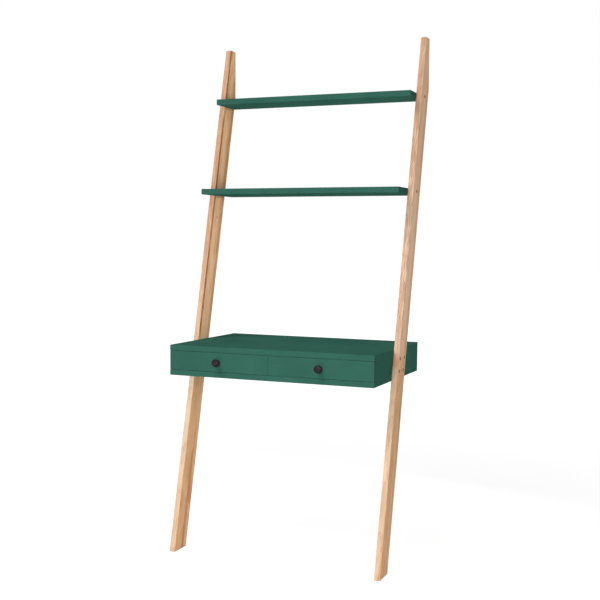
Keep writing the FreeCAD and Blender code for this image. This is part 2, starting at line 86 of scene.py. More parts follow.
def rail_lean():
    """How far the rails lean back from upright, from the front edge of one rail's foot and top."""
    low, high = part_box(RAILS[0])
    near_top = high.z - 3 * MM
    top_front = min(v.co.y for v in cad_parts[RAILS[0]].data.vertices if v.co.z > near_top)
    return math.atan2(top_front - low.y, high.z - low.z)


def rail_sole():
    """The depth of a rail's foot along the floor."""
    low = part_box(RAILS[0])[0]
    sole = [v.co.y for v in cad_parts[RAILS[0]].data.vertices if v.co.z < low.z + 2.5 * MM]
    return max(sole) - min(sole)


def knob_size(axis):
    low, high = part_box(DRAWERS[0] + "_knob")
    return high[axis] - low[axis]


# ---- Settings ----
def colour(name, default, description):
    return bpy.props.FloatVectorProperty(
        name=name, description=description, default=default, subtype="COLOR", size=3, min=0, max=1
    )


def length(name, default, description):
    return bpy.props.FloatProperty(
        name=name, description=description, default=default, min=0, unit="LENGTH", precision=4
    )


def share(name, default, description):
    return bpy.props.FloatProperty(
        name=name, description=description, default=default, min=0, max=1, subtype="FACTOR"
    )


def angle(name, default, description):
    return bpy.props.FloatProperty(name=name, description=description, default=default, unit="ROTATION")


def power(name, default, description):
    return bpy.props.FloatProperty(
        name=name, description=description, default=default, min=0, unit="POWER"
    )


def number(name, default, description):
    return bpy.props.FloatProperty(name=name, description=description, default=default, min=0)


class TimberSettings(bpy.types.PropertyGroup):
    lean: angle("Lean", rail_lean(), "Angle from upright that the rails' grain follows")
    pale: colour("Pale", srgb(250, 214, 178), "Early wood between the growth lines")
    golden: colour("Golden", srgb(228, 177, 128), "Warmer bands that run along a board")
    cream: colour("Cream", srgb(238, 218, 192), "The palest, coolest timber")
    rosy: colour("Rosy", srgb(230, 190, 162), "Pinker bands that run along a board")
    tan: colour("Tan", srgb(212, 168, 136), "Darker, redder timber towards a rail's top")
    sap: colour("Sapwood", srgb(255, 206, 157), "Paler wood next to the bark")
    late: colour("Late wood", srgb(184, 122, 76), "Dark side of each growth line")
    pore: colour("Pores", srgb(118, 78, 48), "Open pores and pin knots")
    blush: colour("Blush", srgb(212, 140, 104), "Reddish patches where the timber was worked")
    ring_width: length("Ring width", 4.2 * MM, "Distance between two growth lines")
    pith_distance: length("Pith distance", 105 * MM, "From a board's middle to the heart of its tree")
    roughness: share("Roughness", 0.55, "Of the matt lacquer")
    gloss: share("Gloss", 0.02, "Strength of the lacquer's own reflection")


class PaintSettings(bpy.types.PropertyGroup):
    colour: colour("Colour", srgb(55, 103, 89), "Matt paint on the shelves and the desk box")
    worn: colour("Edges", srgb(84, 128, 113), "Thinner paint along the boards' edges")
    wear_width: length("Edge width", 1.6 * MM, "How far the thin paint reaches from an edge")
    wear: share("Edge share", 0.3, "How much of the thin paint shows")
    roller_grain: length("Roller grain", 1.8 * MM, "Size of the roller's orange-peel marks")
    roughness: share("Roughness", 0.58, "Of the matt paint")
    gloss: share("Gloss", 0, "Strength of the paint's own reflection")


class KnobSettings(bpy.types.PropertyGroup):
    radius: length("Radius", knob_size(X) / 2, "Of the rim")
    projection: length("Projection", knob_size(Y), "From the drawer front")
    base_radius: length("Base radius", 8 * MM, "Of the foot on the drawer front")
    neck_radius: length("Neck radius", 5.8 * MM, "Of the waist behind the rim")
    dome_height: length("Dome height", 4 * MM, "Of the rounded face, from its rim")
    colour: colour("Colour", srgb(20, 20, 21), "Black enamel")
    # Painted highlight: the warmer, lighter middle of the knob's face.
    rubbed: colour("Rubbed", srgb(50, 34, 42), "Warmer tone over the middle of the face")
    roughness: share("Roughness", 0.36, "Of the enamel")
    gloss: share("Gloss", 0.15, "Strength of the enamel's own reflection")


class DrawerBoxSettings(bpy.types.PropertyGroup):
    light: colour("Birch", srgb(232, 212, 180), "Pale bands of the sides and backs")
    warm: colour("Warm birch", srgb(214, 186, 146), "Warmer bands of the sides and backs")
    dark: colour("Fibres", srgb(176, 140, 100), "Fine fibres of the sides and backs")
    panel: colour("Bottom board", srgb(196, 170, 136), "Pressed fibre board")


class FastenerSettings(bpy.types.PropertyGroup):
    head_radius: length("Bolt head radius", 6.5 * MM, "Of the connector bolts' heads")
    head_height: length("Bolt head height", 2.5 * MM, "Above the counterbore's floor")
    shank_radius: length("Bolt shank radius", 3 * MM, "Of the thread")
    shank_length: length("Bolt shank length", 30 * MM, "Under the head")
    socket_width: length("Socket width", 4 * MM, "Across the socket's flats")
    socket_depth: length("Socket depth", 1.9 * MM, "Of the hexagon socket")
    edge: length("Eased edge", 0.5 * MM, "Of the bolt head's rim")
    cross_share: share("Cross size", 0.62, "Width of a screw's cross slot against its head")
    bronze: colour("Bronze", srgb(136, 84, 40), "Dark bronzed steel of the bolts")
    zinc: colour("Zinc", srgb(196, 198, 200), "Plated steel of the screws and runners")
    polished: colour("Polished steel", srgb(214, 215, 216), "Balls in the runners")
    roughness: share("Roughness", 0.45, "Of the bronzed steel")


class StageSettings(bpy.types.PropertyGroup):
    camera_place: bpy.props.FloatVectorProperty(
        name="Camera",
        description="Where the camera stands",
        default=(1.3970, -3.3282, 1.1167),
        unit="LENGTH",
    )
    camera_heading: angle("Heading", 0.3936, "Turn of the view from straight at the wall")
    camera_dip: angle("Dip", 0.0867, "How far the view looks down")
    camera_roll: angle("Roll", 0.0089, "Turn of the camera about its view")
    lens: number("Lens", 60.946, "Focal length in millimetres")
    shift: number("Shift", 0.0478, "Upward shift of the frame")
    floor_colour: colour("Floor", srgb(246, 246, 245), "Plain pale floor")
    floor_glow: share("Floor glow", 0.76, "How much of the floor's white the camera sees unlit")
    ambient: number("Ambient", 0.19, "Light from all round")
    front_power: power("Front light", 15.5, "Soft light in front of the desk")
    side_power: power("Side light", 235, "Soft light from the right")
    top_power: power("Top light", 355, "Soft light from above and a little to the left")
    back_power: power("Back light", 9.8, "Soft light from behind, between the rails")


# ---- Shader nodes ----
class Number:
    """A value that a shader's nodes work out, on which ordinary sums can be written."""

    def __init__(self, shader, socket):
        self.shader = shader
        self.socket = socket

    def maths(self, operation, *values):
        return self.shader.add("ShaderNodeMath", {"operation": operation}, dict(enumerate(values)))

    def __add__(self, other):
        return self.maths("ADD", self, other)

    def __sub__(self, other):
        return self.maths("SUBTRACT", self, other)

    def __rsub__(self, other):
        return self.maths("SUBTRACT", other, self)

    def __mul__(self, other):
        return self.maths("MULTIPLY", self, other)

    def __truediv__(self, other):
        return self.maths("DIVIDE", self, other)

    def __pow__(self, exponent):
        return self.maths("POWER", self, exponent)

    __radd__ = __add__
    __rmul__ = __mul__

    def size(self):
        return self.maths("ABSOLUTE", self)

    def part(self):
        """What is left after the whole number is taken off."""
        return self.maths("FRACT", self)

    def larger(self, other):
        return self.maths("MAXIMUM", self, other)

    def step(self, low, high):
        """A smooth step from 0 at low to 1 at high."""
        inputs = {"Value": self, "From Min": low, "From Max": high}
        return self.shader.add("ShaderNodeMapRange", {"interpolation_type": "SMOOTHSTEP"}, inputs)

    def fade(self, low, high):
        """A smooth step from 1 at low to 0 at high."""
        return 1 - self.step(low, high)

    def inside(self, limits):
        """Rises from limit 1 to limit 2 and, where there are four, falls from limit 3 to limit 4."""
        rise = self.step(*limits[:2])
        return rise if len(limits) == 2 else rise * self.step(*limits[:1:-1])


class Shader:
    """The nodes of one material or of the world."""

    def __init__(self, owner):
        owner.use_nodes = True
        self.owner = owner
        self.tree = owner.node_tree
        self.tree.nodes.clear()

    def add(self, kind, settings=None, inputs=None, output=0):
        """Adds a node: its settings come first, then the values or links of its inputs."""
        node = self.tree.nodes.new(kind)
        for key, value in (settings or {}).items():
            setattr(node, key, value)
        for key, value in (inputs or {}).items():
            if isinstance(value, Number):
                self.tree.links.new(value.socket, node.inputs[key])
            else:
                node.inputs[key].default_value = value
        return Number(self, node.outputs[output])

    def place(self, offset=(0, 0, 0), turn=(0, 0, 0)):
        """The place on the object, turned and then moved."""
        place = self.add("ShaderNodeTexCoord", output="Object")
        inputs = {"Vector": place, "Location": offset, "Rotation": turn}
        return self.add("ShaderNodeMapping", {"vector_type": "POINT"}, inputs)

    def axes(self, vector):
        return [self.add("ShaderNodeSeparateXYZ", None, {0: vector}, output=axis) for axis in range(3)]

    def noise(self, vector, patch, detail=2, rough=0.5, seed=0, turn=(0, 0, 0)):
        """Cloudy noise about 0.5. Patch is the size of its patches along x, y and z, in metres."""
        scaled = {"Vector": vector, "Rotation": turn, "Scale": patch}
        spread = self.add("ShaderNodeMapping", {"vector_type": "TEXTURE"}, scaled)
        inputs = {"Vector": spread, "W": seed, "Scale": 1, "Detail": detail, "Roughness": rough}
        return self.add("ShaderNodeTexNoise", {"noise_dimensions": "4D"}, inputs)

    def mix(self, first, second, factor):
        """A colour between two colours."""
        inputs = {0: factor, 6: opaque(first), 7: opaque(second)}
        return self.add("ShaderNodeMix", {"data_type": "RGBA"}, inputs, output=2)

    def bump(self, height, distance, strength=1):
        inputs = {"Height": height, "Distance": distance, "Strength": strength}
        return self.add("ShaderNodeBump", None, inputs)

    def principled(self, **inputs):
        """Ends the material in one Principled shader, whose sockets are named with _ for a space."""
        sockets = {name.replace("_", " "): value for name, value in inputs.items()}
        return self.end(self.add("ShaderNodeBsdfPrincipled", None, sockets))

    def end(self, shader, kind="ShaderNodeOutputMaterial"):
        node = self.tree.nodes.new(kind)
        self.tree.links.new(shader.socket, node.inputs["Surface"])
        return self.owner


def opaque(value):
    """A colour with its alpha, as the sockets of a Mix node want it."""
    return value if isinstance(value, Number) else (*value, 1)


def cube(size):
    return (size, size, size)


def shade(colour_value, factor):
    """A colour made darker, or lighter with a factor above 1."""
    return [min(1, part * factor) for part in colour_value]


def new_shader(name):
    return Shader(bpy.data.materials.new(name))


def dress(name, material):
    """Puts one material on a node of the frame."""
    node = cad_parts[name]
    if not node.data.materials:
        node.data.materials.append(material)
    for slot in node.material_slots:
        slot.material = material


# ---- Timber ----
def timber(name, wood, middle, turn, seed, marks=()):
    """Sawn timber. Across the board lie x and y from its middle, and z runs along the grain."""
    shader = new_shader(name)
    place = shader.place(middle, turn)
    late = growth_lines(shader, place, wood, seed)
    bands = shader.noise(place, (28 * MM, 28 * MM, 1.1), detail=3, seed=seed + 11)
    glow = shader.noise(place, (20 * MM, 20 * MM, 0.6), detail=3, seed=seed + 19)
    streaks = shader.noise(place, (6 * MM, 12 * MM, 0.09), detail=4, seed=seed + 23)
    gleams = shader.noise(place, (6 * MM, 14 * MM, 0.07), detail=3, seed=seed + 29)
    fibres = shader.noise(place, (0.9 * MM, 0.9 * MM, 60 * MM), detail=3, rough=0.6, seed=seed)
    pores = shader.noise(place, (0.7 * MM, 0.7 * MM, 24 * MM), detail=1, seed=seed + 5).step(0.66, 0.74)

    tone = shader.mix(wood.pale, wood.rosy, bands.step(0.42, 0.62))
    tone = shader.mix(tone, wood.golden, glow.step(0.48, 0.66) * 0.6)
    for mark in marks:
        tone = mark(shader, place, tone)
    tone = shader.mix(tone, wood.late, streaks.step(0.5, 0.68) * 0.4)
    tone = shader.mix(tone, wood.pale, gleams.step(0.52, 0.68) * 0.5)
    tone = shader.mix(tone, wood.late, late * 0.3)
    tone = shader.mix(tone, wood.late, fibres.step(0.5, 0.75) * 0.26)
    tone = shader.mix(tone, wood.pore, pores * (0.25 + 0.35 * late))
    return shader.principled(
        Base_Color=tone,
        Roughness=wood.roughness + fibres * 0.1 - late * 0.06,
        Specular_IOR_Level=wood.gloss,
        Normal=shader.bump(1 - late * 0.5 - pores * 0.8 - fibres * 0.35, 0.12 * MM, 0.6),
    )


def growth_lines(shader, place, wood, seed):
    """Rings round a heart that wanders in front of the board: pale, then slowly dark, then pale at once."""
    x, y, z = shader.axes(place)
    drift = shader.noise(place, (0.2, 0.2, 0.6), seed=seed) - 0.5
    sway = shader.noise(place, (0.2, 0.2, 0.42), seed=seed + 7) - 0.5
    ripple = shader.noise(place, (11 * MM, 11 * MM, 0.11), seed=seed + 3) - 0.5
    heart_x = x + drift * 0.02
    heart_y = y + wood.pith_distance + sway * 0.06
    radius = (heart_x * heart_x + heart_y * heart_y) ** 0.5
    phase = (radius / wood.ring_width + ripple * 0.9).part()
    return phase ** 3 * phase.fade(0.93, 1.0)


# Each mark takes a shader, the place in the board and the tone so far, and gives the tone with the mark.
def wash(new_tone, amount, x=None, y=None, z=None):
    """A cloudy wash of another tone inside limits across, through and along the board."""

    def mark(shader, place, tone):
        cloud = shader.noise(place, (12 * MM, 12 * MM, 0.25), detail=3, seed=37)
        factor = amount * (0.7 + 0.3 * cloud.step(0.3, 0.6))
        for value, limits in zip(shader.axes(place), (x, y, z)):
            if limits:
                factor = factor * value.inside(limits)
        return shader.mix(tone, new_tone, factor)

    return mark


def curly_grain(wood, y, z):
    """Strokes that sway to and fro across the face, pale beside dark, inside limits."""

    def mark(shader, place, tone):
        across, through, along = shader.axes(place)
        sway = shader.noise(place, (0.1, 0.1, 0.07), detail=1, seed=43) - 0.5
        stroke = ((across + sway * 0.07) / (8 * MM)).part()
        broken = shader.noise(place, (9 * MM, 30 * MM, 50 * MM), detail=2, seed=41)
        amount = through.inside(y) * along.inside(z)
        dark = stroke.step(0.75, 0.35) * broken.step(0.4, 0.6) * amount
        light = stroke.inside((0.4, 0.7, 0.8, 1)) * broken.step(0.55, 0.42) * amount
        return shader.mix(shader.mix(tone, wood.late, dark * 0.45), wood.pale, light * 0.8)

    return mark


def pin_knot(wood, through_board, along_board, radius):
    """A small round knot, with a darker ring of grain."""

    def mark(shader, place, tone):
        x, y, z = shader.axes(place)
        off_y = y - through_board
        off_z = (z - along_board) * 0.6
        distance = (off_y * off_y + off_z * off_z) ** 0.5
        tone = shader.mix(tone, wood.late, distance.fade(radius, radius * 3) * 0.5)
        return shader.mix(tone, wood.pore, distance.fade(radius * 0.6, radius * 1.3))

    return mark


def painted_contact_shade(wood, board, amount):
    """Painted shade: a darker band on the rails' inner faces right under a board's end, in place of the
    board's contact shadow.
    """
    low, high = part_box(board)

    def mark(shader, place, tone):
        x, y, z = shader.axes(shader.place())
        under = z.inside((low.z - 12 * MM, low.z - 1 * MM, low.z + 4 * MM, high.z - 4 * MM))
        on_inner_face = x.size().fade(high.x + 0.5 * MM, high.x + 2 * MM)
        return shader.mix(tone, wood.pore, under * on_inner_face * amount)

    return mark


def rail_faces(wood):
    """Half a rail's thickness, the place of its front, and the limits that pick its front and inner face."""
    low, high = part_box(RAILS[0])
    side = (high.x - low.x) / 2
    front = -rail_sole() * math.cos(wood.lean) / 2
    return side, front, (front + 3 * MM, front + 0.5 * MM), (side - 3 * MM, side - 0.5 * MM)


def left_rail_marks(wood):
    """Pale and golden low down, rosy and tan above, with a dark growth line along the inner corner."""
    side, front, front_face, inner_face = rail_faces(wood)
    corner = (front - 2 * MM, front, front + 8 * MM, front + 12 * MM)
    above_desk = (0.7, 0.78)
    return [
        wash(wood.pale, 0.8, y=front_face, z=(0.7, 0.55)),
        wash(wood.cream, 0.6, y=front_face, z=(0.2, 0.35, 0.6, 0.75)),
        wash(wood.rosy, 0.8, y=front_face, z=(0.6, 0.95)),
        wash(wood.tan, 0.95, y=front_face, z=(0.85, 1.15)),
        wash(wood.golden, 0.9, x=inner_face, z=(0.8, 0.5)),
        wash(wood.late, 0.75, x=inner_face, y=(0, 5 * MM, 13 * MM, 24 * MM), z=(0.5, 0.25)),
        wash(wood.blush, 0.8, x=inner_face, y=(8 * MM, 18 * MM), z=(0.04, 0.1, 0.18, 0.27)),
        wash(wood.sap, 1, x=inner_face, z=(0.6, 0.72)),
        wash(wood.golden, 0.9, x=inner_face, y=(-6 * MM, 18 * MM), z=(0.9, 1.15)),
        wash(wood.late, 0.7, x=inner_face, y=(14 * MM, 24 * MM), z=(0.6, 0.85)),
        wash(wood.blush, 0.6, x=(side, -side), y=front_face, z=(1.2, 1.24, 1.27, 1.29)),
        wash(wood.late, 1, x=(side - 3 * MM, side - 1 * MM), y=corner, z=above_desk),
        wash(wood.pore, 0.18, x=(side - 2 * MM, side - 1 * MM), y=corner, z=above_desk),
        pin_knot(wood, through_board=-1 * MM, along_board=1.194, radius=1.6 * MM),
    ]


def right_rail_marks(wood):
    """Curly grain on the upper front, blush patches by the desk and the top shelf, and a paler lower front
    that is painted light against the desk's shadow.
    """
    side, front, front_face, inner_face = rail_faces(wood)
    return [
        # Painted light: a paler front from about 0.24 m to 0.7 m up, against the shadow that the desk casts
        # there.
        wash(wood.pale, 1, y=front_face, z=(0.24, 0.32, 0.62, 0.7)),
        wash(wood.rosy, 0.95, y=front_face, z=(0.64, 0.8)),
        wash(wood.cream, 0.4, y=front_face, z=(0.9, 1.05, 1.2, 1.32)),
        wash(wood.tan, 0.95, y=front_face, z=(1.22, 1.45)),
        wash(wood.golden, 0.75, x=inner_face, z=(0.85, 0.6)),
        wash(wood.golden, 0.5, x=inner_face, y=(4 * MM, 24 * MM), z=(0.6, 0.85)),
        wash(wood.pale, 0.6, x=inner_face, y=(14 * MM, 2 * MM), z=(0.62, 0.8)),
        wash(wood.late, 0.3, x=inner_face, y=(14 * MM, 24 * MM), z=(0.2, 0.5)),
        curly_grain(wood, y=(front + 14 * MM, front + 4 * MM), z=(0.76, 0.86, 1.45, 1.7)),
        wash(wood.blush, 0.8, x=(side, -side), y=front_face, z=(1.6, 1.62, 1.63, 1.66)),
        wash(wood.blush, 0.5, y=front_face, z=(0.65, 0.67, 0.69, 0.72)),
        wash(wood.blush, 0.5, x=inner_face, y=(-16 * MM, 0, 0, 16 * MM), z=(0.62, 0.64, 0.65, 0.67)),
    ]


def finish_rail(name, wood, seed, marks):
    low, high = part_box(name)
    middle_y = (low.y + rail_sole() / 2) * math.cos(wood.lean)
    middle = (-(low.x + high.x) / 2, -middle_y, 0)
    dress(name, timber(name + "_timber", wood, middle, (wood.lean, 0, 0), seed, marks))


def drawer_birch(name, along, seed):
    """Pale birch with fine straight grain along one axis."""
    birch = bpy.context.scene.desk_drawer_boxes
    shader = new_shader(name)
    place = shader.place()
    fine = [1.1 * MM, 1.1 * MM, 1.1 * MM]
    wide = [24 * MM, 24 * MM, 24 * MM]
    fine[along] = 70 * MM
    wide[along] = 0.5
    fibres = shader.noise(place, fine, detail=3, rough=0.6, seed=seed)
    bands = shader.noise(place, wide, detail=3, seed=seed + 4)
    tone = shader.mix(birch.light, birch.warm, bands.step(0.35, 0.65))
    tone = shader.mix(tone, birch.dark, fibres.step(0.5, 0.75) * 0.35)
    return shader.principled(
        Base_Color=tone,
        Roughness=0.5 + fibres * 0.15,
        Specular_IOR_Level=0.25,
        Normal=shader.bump(fibres, 0.08 * MM, 0.5),
    )


def fibre_board(name, tone_value):
    """Thin pressed fibre board: short fibres lying every way."""
    shader = new_shader(name)
    place = shader.place()
    flecks = shader.noise(place, cube(1.4 * MM), detail=3, rough=0.7)
    clouds = shader.noise(place, cube(45 * MM), detail=3, seed=2)
    dark = shade(tone_value, 0.7)
    tone = shader.mix(tone_value, dark, clouds.step(0.4, 0.7) * 0.35)
    return shader.principled(
        Base_Color=shader.mix(tone, dark, flecks.step(0.52, 0.7) * 0.5),
        Roughness=0.62 + flecks * 0.15,
        Specular_IOR_Level=0.25,
        Normal=shader.bump(flecks, 0.06 * MM, 0.5),
    )


# ---- Paint ----
def painted_board(name, paint):
    """Matt paint on one board, a little thinner along the board's own edges."""
    low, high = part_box(name)
    shader = new_shader(name + "_paint")
    place = shader.place(-(low + high) / 2)
    across, along, up = [
        (half - axis.size()).larger(0) for axis, half in zip(shader.axes(place), (high - low) / 2)
    ]
    widest = across.larger(along).larger(up)
    edge = (across + along + up - widest).fade(0, paint.wear_width)

    clouds = shader.noise(place, cube(0.2), detail=3, seed=len(name))
    # Patches where the paint along the edges is rubbed thin.
    rubbed = shader.noise(place, cube(17 * MM), detail=3, seed=2)
    roller = shader.noise(place, cube(paint.roller_grain), rough=0.6)
    strokes = shader.noise(place, (170 * MM, 6 * MM, 6 * MM), detail=3, seed=4)

    tone = shader.mix(shade(paint.colour, 0.92), shade(paint.colour, 1.08), clouds.step(0.3, 0.7))
    tone = shader.mix(tone, paint.worn, strokes.step(0.5, 0.8) * 0.1)
    tone = shader.mix(tone, paint.worn, edge * rubbed.step(0.3, 0.7) * paint.wear)
    return shader.principled(
        Base_Color=tone,
        Roughness=paint.roughness + (clouds - 0.5) * 0.12 - edge * 0.08 + (roller - 0.5) * 0.1,
        Specular_IOR_Level=paint.gloss,
        Normal=shader.bump(roller + strokes * 0.35, 0.05 * MM, 0.5),
    )


# ---- Metal ----
def knob_enamel(knob):
    """Black enamel with a faint stipple, and a warmer, lighter tone over the middle of the face that fades
    towards the rim: a painted highlight.
    """
    low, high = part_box(DRAWERS[1] + "_knob")
    middle = (low + high) / 2
    shader = new_shader("knob_enamel")
    place = shader.place()
    x, y, z = shader.axes(place)
    off_x = x.size() - middle.x
    off_z = z - middle.z
    out = (off_x * off_x + off_z * off_z) ** 0.5
    stipple = shader.noise(place, cube(0.7 * MM))
    clouds = shader.noise(place, cube(5 * MM), detail=3, seed=6)
    # Painted highlight over the middle of the face, fading out towards the rim.
    rubbed = out.fade(knob.radius * 0.45, knob.radius * 0.85) * (0.6 + 0.4 * clouds.step(0.35, 0.65))
    return shader.principled(
        Base_Color=shader.mix(knob.colour, knob.rubbed, rubbed),
        Roughness=knob.roughness + (stipple - 0.5) * 0.15 + (clouds - 0.5) * 0.2,
        Specular_IOR_Level=knob.gloss,
        Normal=shader.bump(stipple, 0.04 * MM, 0.5),
    )


def bronzed_steel(fastener):
    shader = new_shader("bolt_bronze")
    place = shader.place()
    clouds = shader.noise(place, cube(2.4 * MM), detail=3)
    grain = shader.noise(place, cube(0.4 * MM), detail=1, seed=3)
    return shader.principled(
        Base_Color=shader.mix(fastener.bronze, shade(fastener.bronze, 0.5), clouds.step(0.4, 0.7)),
        Metallic=clouds * 0.15,
        Roughness=fastener.roughness + (clouds - 0.5) * 0.3,
        Specular_IOR_Level=0.1,
        Normal=shader.bump(grain, 0.02 * MM, 0.4),
    )


def plated_steel(name, tone_value, roughness):
    """Plated sheet or wire with fine draw lines from front to back."""
    shader = new_shader(name)
    place = shader.place()
    lines = shader.noise(place, (0.6 * MM, 90 * MM, 0.6 * MM), detail=3)
    spangle = shader.noise(place, cube(4 * MM), detail=3, seed=9)
    return shader.principled(
        Base_Color=shader.mix(tone_value, shade(tone_value, 0.72), spangle.step(0.4, 0.7) * 0.6),
        Metallic=0.9 + spangle * 0.1,
        Roughness=roughness + (lines - 0.5) * 0.25 + (spangle - 0.5) * 0.1,
        Normal=shader.bump(lines, 0.03 * MM, 0.4),
    )


# ---- Modelling ----
def deselect():
    if bpy.context.object and bpy.context.object.mode != "OBJECT":
        bpy.ops.object.mode_set(mode="OBJECT")
    bpy.ops.object.select_all(action="DESELECT")


def select_only(piece):
    deselect()
    piece.select_set(True)
    bpy.context.view_layer.objects.active = piece


def edit_faces():
    """Goes from a new primitive, with its turn in its mesh, to edit mode with its faces selected."""
    bpy.ops.object.transform_apply(location=True, rotation=True, scale=True)
    bpy.ops.object.mode_set(mode="EDIT")
    bpy.ops.mesh.select_mode(type="FACE")
    bpy.ops.mesh.select_all(action="SELECT")
    return bpy.context.object


def pick_faces(piece, wanted):
    """Selects in edit mode the faces for which wanted(face) is true."""
    bpy.ops.mesh.select_mode(type="FACE")
    bpy.ops.mesh.select_all(action="DESELECT")
    bpy.ops.object.mode_set(mode="OBJECT")
    for face in piece.data.polygons:
        face.select = wanted(face)
    bpy.ops.object.mode_set(mode="EDIT")


def pick_edges(piece, wanted):
    """Selects in edit mode the edges whose two ends both pass wanted(place)."""
    bpy.ops.mesh.select_mode(type="EDGE")
    bpy.ops.mesh.select_all(action="DESELECT")
    bpy.ops.object.mode_set(mode="OBJECT")
    places = [vertex.co for vertex in piece.data.vertices]
    for edge in piece.data.edges:
        edge.select = all(wanted(places[index]) for index in edge.vertices)
    bpy.ops.object.mode_set(mode="EDIT")


def extrude_along(direction, distance, ratio, centre):
    """Extrudes the selection along a direction, and scales it about a centre, square to that direction."""
    bpy.ops.mesh.extrude_region_move(TRANSFORM_OT_translate={"value": direction * distance})
    sizes = [1 if abs(part) > 0.5 else ratio for part in direction]
    bpy.ops.transform.resize(value=sizes, center_override=centre)


def finish_normals():
    bpy.ops.mesh.select_all(action="SELECT")
    bpy.ops.mesh.normals_make_consistent(inside=False)
    bpy.ops.object.mode_set(mode="OBJECT")


def apply_modifiers(piece):
    select_only(piece)
    for modifier in list(piece.modifiers):
        bpy.ops.object.modifier_apply(modifier=modifier.name)


def cut_with(piece, tools):
    """Cuts each tool out of a piece and deletes the tool."""
    for tool in tools:
        cut = piece.modifiers.new("Cut", "BOOLEAN")
        cut.object = tool
        cut.operation = "DIFFERENCE"
        cut.solver = "EXACT"
    apply_modifiers(piece)
    for tool in tools:
        bpy.data.objects.remove(tool)


def copy_to(model, name, place):
    """A copy of a model with its own mesh, moved by a matrix into its place."""
    piece = model.copy()
    piece.data = model.data.copy()
    piece.name = name
    piece.data.name = name
    piece.data.transform(place)
    bpy.context.scene.collection.objects.link(piece)
    return piece


def loose_boxes(name):
    """The lowest and highest corner of each separate solid in a node of the frame."""
    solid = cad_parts[name].copy()
    solid.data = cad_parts[name].data.copy()
    solid.parent = None
    bpy.context.scene.collection.objects.link(solid)
    select_only(solid)
    bpy.ops.object.mode_set(mode="EDIT")
    bpy.ops.mesh.select_all(action="SELECT")
    bpy.ops.mesh.remove_doubles(threshold=0.001 * MM)
    bpy.ops.mesh.separate(type="LOOSE")
    bpy.ops.object.mode_set(mode="OBJECT")
    boxes = []
    for part in list(bpy.context.selected_objects):
        corners = [vertex.co.copy() for vertex in part.data.vertices]
        low = Vector(min(corner[axis] for corner in corners) for axis in range(3))
        high = Vector(max(corner[axis] for corner in corners) for axis in range(3))
        boxes.append((low, high))
        bpy.data.objects.remove(part)
    return sorted(boxes, key=lambda box: tuple(box[0]))


def finish_piece(piece, material, body, node):
    """Gives a new piece its material and its body, and hides the node that it stands for."""
    piece.data.materials.clear()
    piece.data.materials.append(material)
    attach(piece, body)
    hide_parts(node)


# ---- Knobs ----
def knob_profile(knob):
    """Radius and distance from the drawer front at each step of the knob, from foot to domed face."""
    radius, neck, face = knob.radius, knob.neck_radius, knob.projection
    rim = face - knob.dome_height
    return [
        (knob.base_radius * 0.98, 0.3 * MM),
        (knob.base_radius, 1.0 * MM),
        (knob.base_radius * 0.94, 1.8 * MM),
        (neck * 1.05, 3.2 * MM),
        (neck, 5.5 * MM),
        (neck, 10 * MM),
        (neck * 1.12, 12.2 * MM),
        (radius * 0.82, 14.8 * MM),
        (radius * 0.99, 16.6 * MM),
        (radius * 1.005, 18.4 * MM),
        (radius, rim - 0.8 * MM),
        (radius * 0.95, rim + knob.dome_height * 0.3),
        (radius * 0.82, rim + knob.dome_height * 0.62),
        (radius * 0.62, rim + knob.dome_height * 0.84),
        (radius * 0.36, rim + knob.dome_height * 0.96),
        (radius * 0.12, face),
    ]


def turn_knob(node, knob):
    """A disc on the drawer front is extruded and scaled step by step into the room, then smoothed."""
    low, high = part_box(node)
    seat = Vector(((low.x + high.x) / 2, high.y, (low.z + high.z) / 2))
    radius, reach = knob.base_radius * 0.9, 0
    deselect()
    bpy.ops.mesh.primitive_circle_add(
        vertices=32, radius=radius, fill_type="NGON", location=seat, rotation=(math.pi / 2, 0, 0)
    )
    piece = edit_faces()
    piece.name = node.replace("_knob", "_turned_knob")
    for next_radius, next_reach in knob_profile(knob):
        centre = seat + TO_ROOM * next_reach
        extrude_along(TO_ROOM, next_reach - reach, next_radius / radius, centre)
        radius, reach = next_radius, next_reach
    finish_normals()
    bpy.ops.object.shade_smooth()
    smooth = piece.modifiers.new("Smooth", "SUBSURF")
    smooth.levels = 1
    smooth.render_levels = 1
    apply_modifiers(piece)
    return piece


# ---- Bolts and screws ----
def model_bolt(fastener):
    """A connector bolt along +X, with its seat at the origin and a hexagon socket in its head."""
    right = Vector((1, 0, 0))
    head, shank = fastener.head_radius, fastener.shank_radius
    tip = 1 * MM
    deselect()
    bpy.ops.mesh.primitive_circle_add(
        vertices=36, radius=head, fill_type="NGON", rotation=(0, math.pi / 2, 0)
    )
    piece = edit_faces()
    extrude_along(right, fastener.head_height, 1, right * fastener.head_height)
    pick_faces(piece, lambda face: face.center.x < tip / 2 and abs(face.normal.x) > 0.9)
    bpy.ops.mesh.inset(thickness=head - shank)
    extrude_along(-right, fastener.shank_length - tip, 1, (0, 0, 0))
    extrude_along(-right, tip, 0.7, -right * fastener.shank_length)
    rim = fastener.head_height - 0.1 * MM
    pick_edges(piece, lambda place: place.x > rim and math.hypot(place.y, place.z) > head * 0.9)
    bpy.ops.mesh.bevel(offset=fastener.edge, segments=3, affect="EDGES")
    finish_normals()
    bpy.ops.mesh.primitive_cylinder_add(
        vertices=6,
        radius=fastener.socket_width / math.sqrt(3),
        depth=2 * fastener.socket_depth,
        location=right * fastener.head_height,
        rotation=(0, math.pi / 2, 0),
    )
    cut_with(piece, [bpy.context.object])
    bpy.ops.object.shade_smooth_by_angle(angle=math.radians(35))
    return piece


